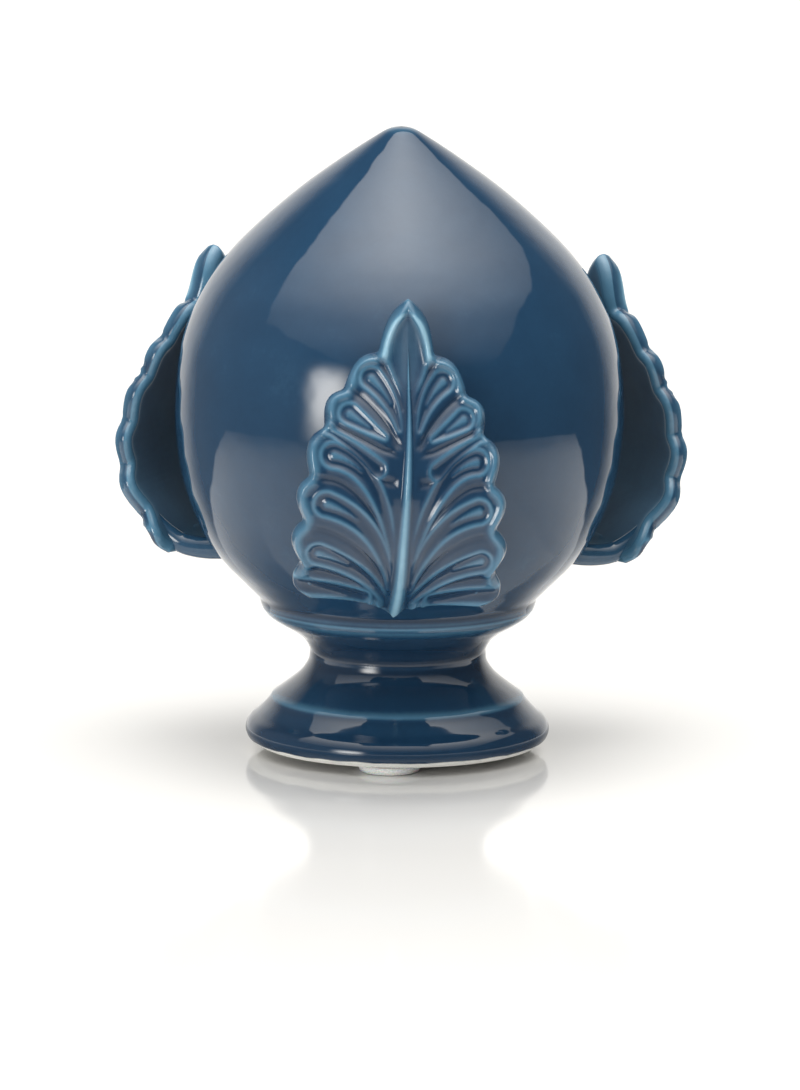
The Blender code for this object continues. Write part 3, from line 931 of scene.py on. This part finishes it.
def studioWorld():
    world = bpy.data.worlds.new("studio")
    bpy.context.scene.world = world
    world.use_nodes = True
    tree = world.node_tree
    tree.nodes.clear()
    where = tree.nodes.new("ShaderNodeTexCoord").outputs["Generated"]
    x, y, z = addNode(tree, "ShaderNodeSeparateXYZ", {0: where}).outputs

    def plus(first, second):
        return maths(tree, "ADD", first, second)

    def times(first, second):
        return maths(tree, "MULTIPLY", first, second)

    def edge(value, ends):
        return fade(tree, value, *ends, smooth=True)

    # an overhead softbox on a plane one unit up: its place there is the direction divided by its rise
    rise = maths(tree, "MAXIMUM", z, studio["leastRise"])
    planeX = maths(tree, "DIVIDE", x, rise)
    planeY = maths(tree, "DIVIDE", y, rise)
    turn = math.radians(studio["softboxTurn"])
    u = plus(times(planeX, math.cos(turn)), times(planeY, math.sin(turn)))
    v = maths(tree, "SUBTRACT", times(planeY, math.cos(turn)), times(planeX, math.sin(turn)))
    edges = [edge(place, ends) for place, ends in zip((u, u, v, v), studio["softboxEdges"])]
    inside = times(times(edges[0], edges[1]), times(edges[2], edges[3]))
    # it is brightest in its middle, right above the finial, and fades evenly all round
    core = studio["softboxCore"]
    away = maths(tree, "SQRT", plus(plus(times(planeX, planeX), times(planeY, planeY)), core**2))
    dimming = maths(tree, "EXPONENT", times(maths(tree, "SUBTRACT", away, core), -studio["softboxFade"]))
    softbox = times(times(inside, dimming), studio["softbox"])

    # a lamp low on the left, in front
    azimuth, elevation = (math.radians(angle) for angle in studio["lampDirection"])
    side = (math.cos(azimuth), math.sin(azimuth), 0.0)
    level = (math.sin(azimuth), -math.cos(azimuth))
    ahead = (level[0] * math.cos(elevation), level[1] * math.cos(elevation), math.sin(elevation))
    tall = (-level[0] * math.sin(elevation), -level[1] * math.sin(elevation), math.cos(elevation))

    def along(axis):
        made = addNode(tree, "ShaderNodeVectorMath", {0: where, 1: axis}, operation="DOT_PRODUCT")
        return made.outputs["Value"]

    def glow(axis, width):
        # the exponential of less the cube of the distance in widths
        apart = maths(tree, "ABSOLUTE", maths(tree, "DIVIDE", along(axis), width))
        return maths(tree, "EXPONENT", times(maths(tree, "POWER", apart, studio["lampEdge"]), -1.0))

    wide, high = studio["lampWidths"]
    lamp = times(times(glow(side, wide), glow(tall, high)), edge(along(ahead), studio["lampAhead"]))
    lamp = times(lamp, studio["lamp"])

    backdrop = times(edge(y, studio["backdropEdge"]), studio["backdrop"])
    leftWall = times(edge(x, studio["leftWallEdge"]), studio["leftWall"])
    total = plus(plus(softbox, lamp), plus(backdrop, plus(leftWall, studio["dark"])))
    rays = tree.nodes.new("ShaderNodeLightPath")
    strength = mix(tree, rays.outputs["Is Camera Ray"], total, studio["white"])
    background = addNode(tree, "ShaderNodeBackground", {
        "Color": (*studio["tint"], 1), "Strength": strength,
    })
    made = tree.nodes.new("ShaderNodeOutputWorld")
    tree.links.new(background.outputs[0], made.inputs["Surface"])


def tableMaterial():
    made = bpy.data.materials.new("white_table")
    made.use_nodes = True
    tree = made.node_tree
    tree.nodes.remove(tree.nodes["Principled BSDF"])
    rays = tree.nodes.new("ShaderNodeLightPath")
    where = tree.nodes.new("ShaderNodeTexCoord").outputs["Object"]
    y = addNode(tree, "ShaderNodeSeparateXYZ", {0: where}).outputs["Y"]
    radius = addNode(tree, "ShaderNodeVectorMath", {0: where}, operation="LENGTH").outputs["Value"]
    # painted shadow: the camera sees the table a little darker close to the foot
    seen = fade(tree, radius, *tableLook["paintedShadowEdge"], *tableLook["seen"])
    # painted light and shadow on the table as the glaze mirrors it: dark by the foot, brighter than white
    # further off, dimmer in front
    mirroredPaintedLight = ramp(tree, radius, [(place, (tone,) * 3) for place, tone in tableLook["mirroredPaintedLight"]])
    dimmed = fade(tree, y, *tableLook["frontEdge"], tableLook["inFront"])
    mirroredPaintedLight = maths(tree, "MULTIPLY", mirroredPaintedLight, dimmed)
    dull = addNode(tree, "ShaderNodeBsdfDiffuse", {
        "Color": mix(tree, rays.outputs["Is Glossy Ray"], seen, mirroredPaintedLight),
    })
    shiny = addNode(tree, "ShaderNodeBsdfGlossy", {
        "Color": (1, 1, 1, 1), "Roughness": tableLook["roughness"],
    })
    shine = fade(tree, radius, *tableLook["shineEdge"], tableLook["shine"], 0.0)
    surface = addNode(tree, "ShaderNodeMixShader", {0: shine, 1: dull.outputs[0], 2: shiny.outputs[0]})

    # the glaze sees the unlit room through the rest of the table
    def past(value, edge):
        return fade(tree, value, edge - tableLook["softness"], edge + tableLook["softness"])

    unlit = maths(tree, "MAXIMUM", past(y, tableLook["behind"]), past(radius, tableLook["reach"]))
    unlit = maths(tree, "MULTIPLY", unlit, rays.outputs["Is Glossy Ray"])
    through = tree.nodes.new("ShaderNodeBsdfTransparent")
    mixed = addNode(tree, "ShaderNodeMixShader", {0: unlit, 1: surface.outputs[0], 2: through.outputs[0]})
    tree.links.new(mixed.outputs[0], tree.nodes["Material Output"].inputs["Surface"])
    return made


def table():
    mesh = bpy.data.meshes.new("table_top")
    reach, level = tableLook["size"], -originHeight * millimetre
    corners = [(-reach, -reach), (reach, -reach), (reach, reach), (-reach, reach)]
    mesh.from_pydata([(x, y, level) for x, y in corners], [], [(0, 1, 2, 3)])
    made = bpy.data.objects.new("table_top", mesh)
    bpy.context.scene.collection.objects.link(made)
    made.data.materials.append(tableMaterial())


studioWorld()
table()
bpy.context.scene.view_settings.view_transform = "Standard"
print("studio made")


# The camera: a long lens, ten degrees above the table

lens = {
    "aim": (0.0, 0.0, 0.0402),
    "distance": 1.845,
    "elevation": 10.0,
    "roll": 0.38,
    "length": 297.25,
    "sensor": 36.0,
    "shift": 1.5 / 1090,      # 1.5 pixels of the picture's 1090
    "clip": 100.0,
}


def addCamera():
    data = bpy.data.cameras.new("photo_camera")
    data.lens = lens["length"]
    data.sensor_width = lens["sensor"]
    data.shift_x = lens["shift"]
    data.clip_end = lens["clip"]
    made = bpy.data.objects.new("photo_camera", data)
    elevation = math.radians(lens["elevation"])
    x, y, z = lens["aim"]
    away = lens["distance"]
    place = Matrix.Translation((x, y - away * math.cos(elevation), z + away * math.sin(elevation)))
    roll = Matrix.Rotation(math.radians(lens["roll"]), 4, "Z")
    made.matrix_world = place @ Matrix.Rotation(math.pi / 2 - elevation, 4, "X") @ roll
    bpy.context.scene.collection.objects.link(made)
    bpy.context.scene.camera = made


addCamera()
print("camera made")
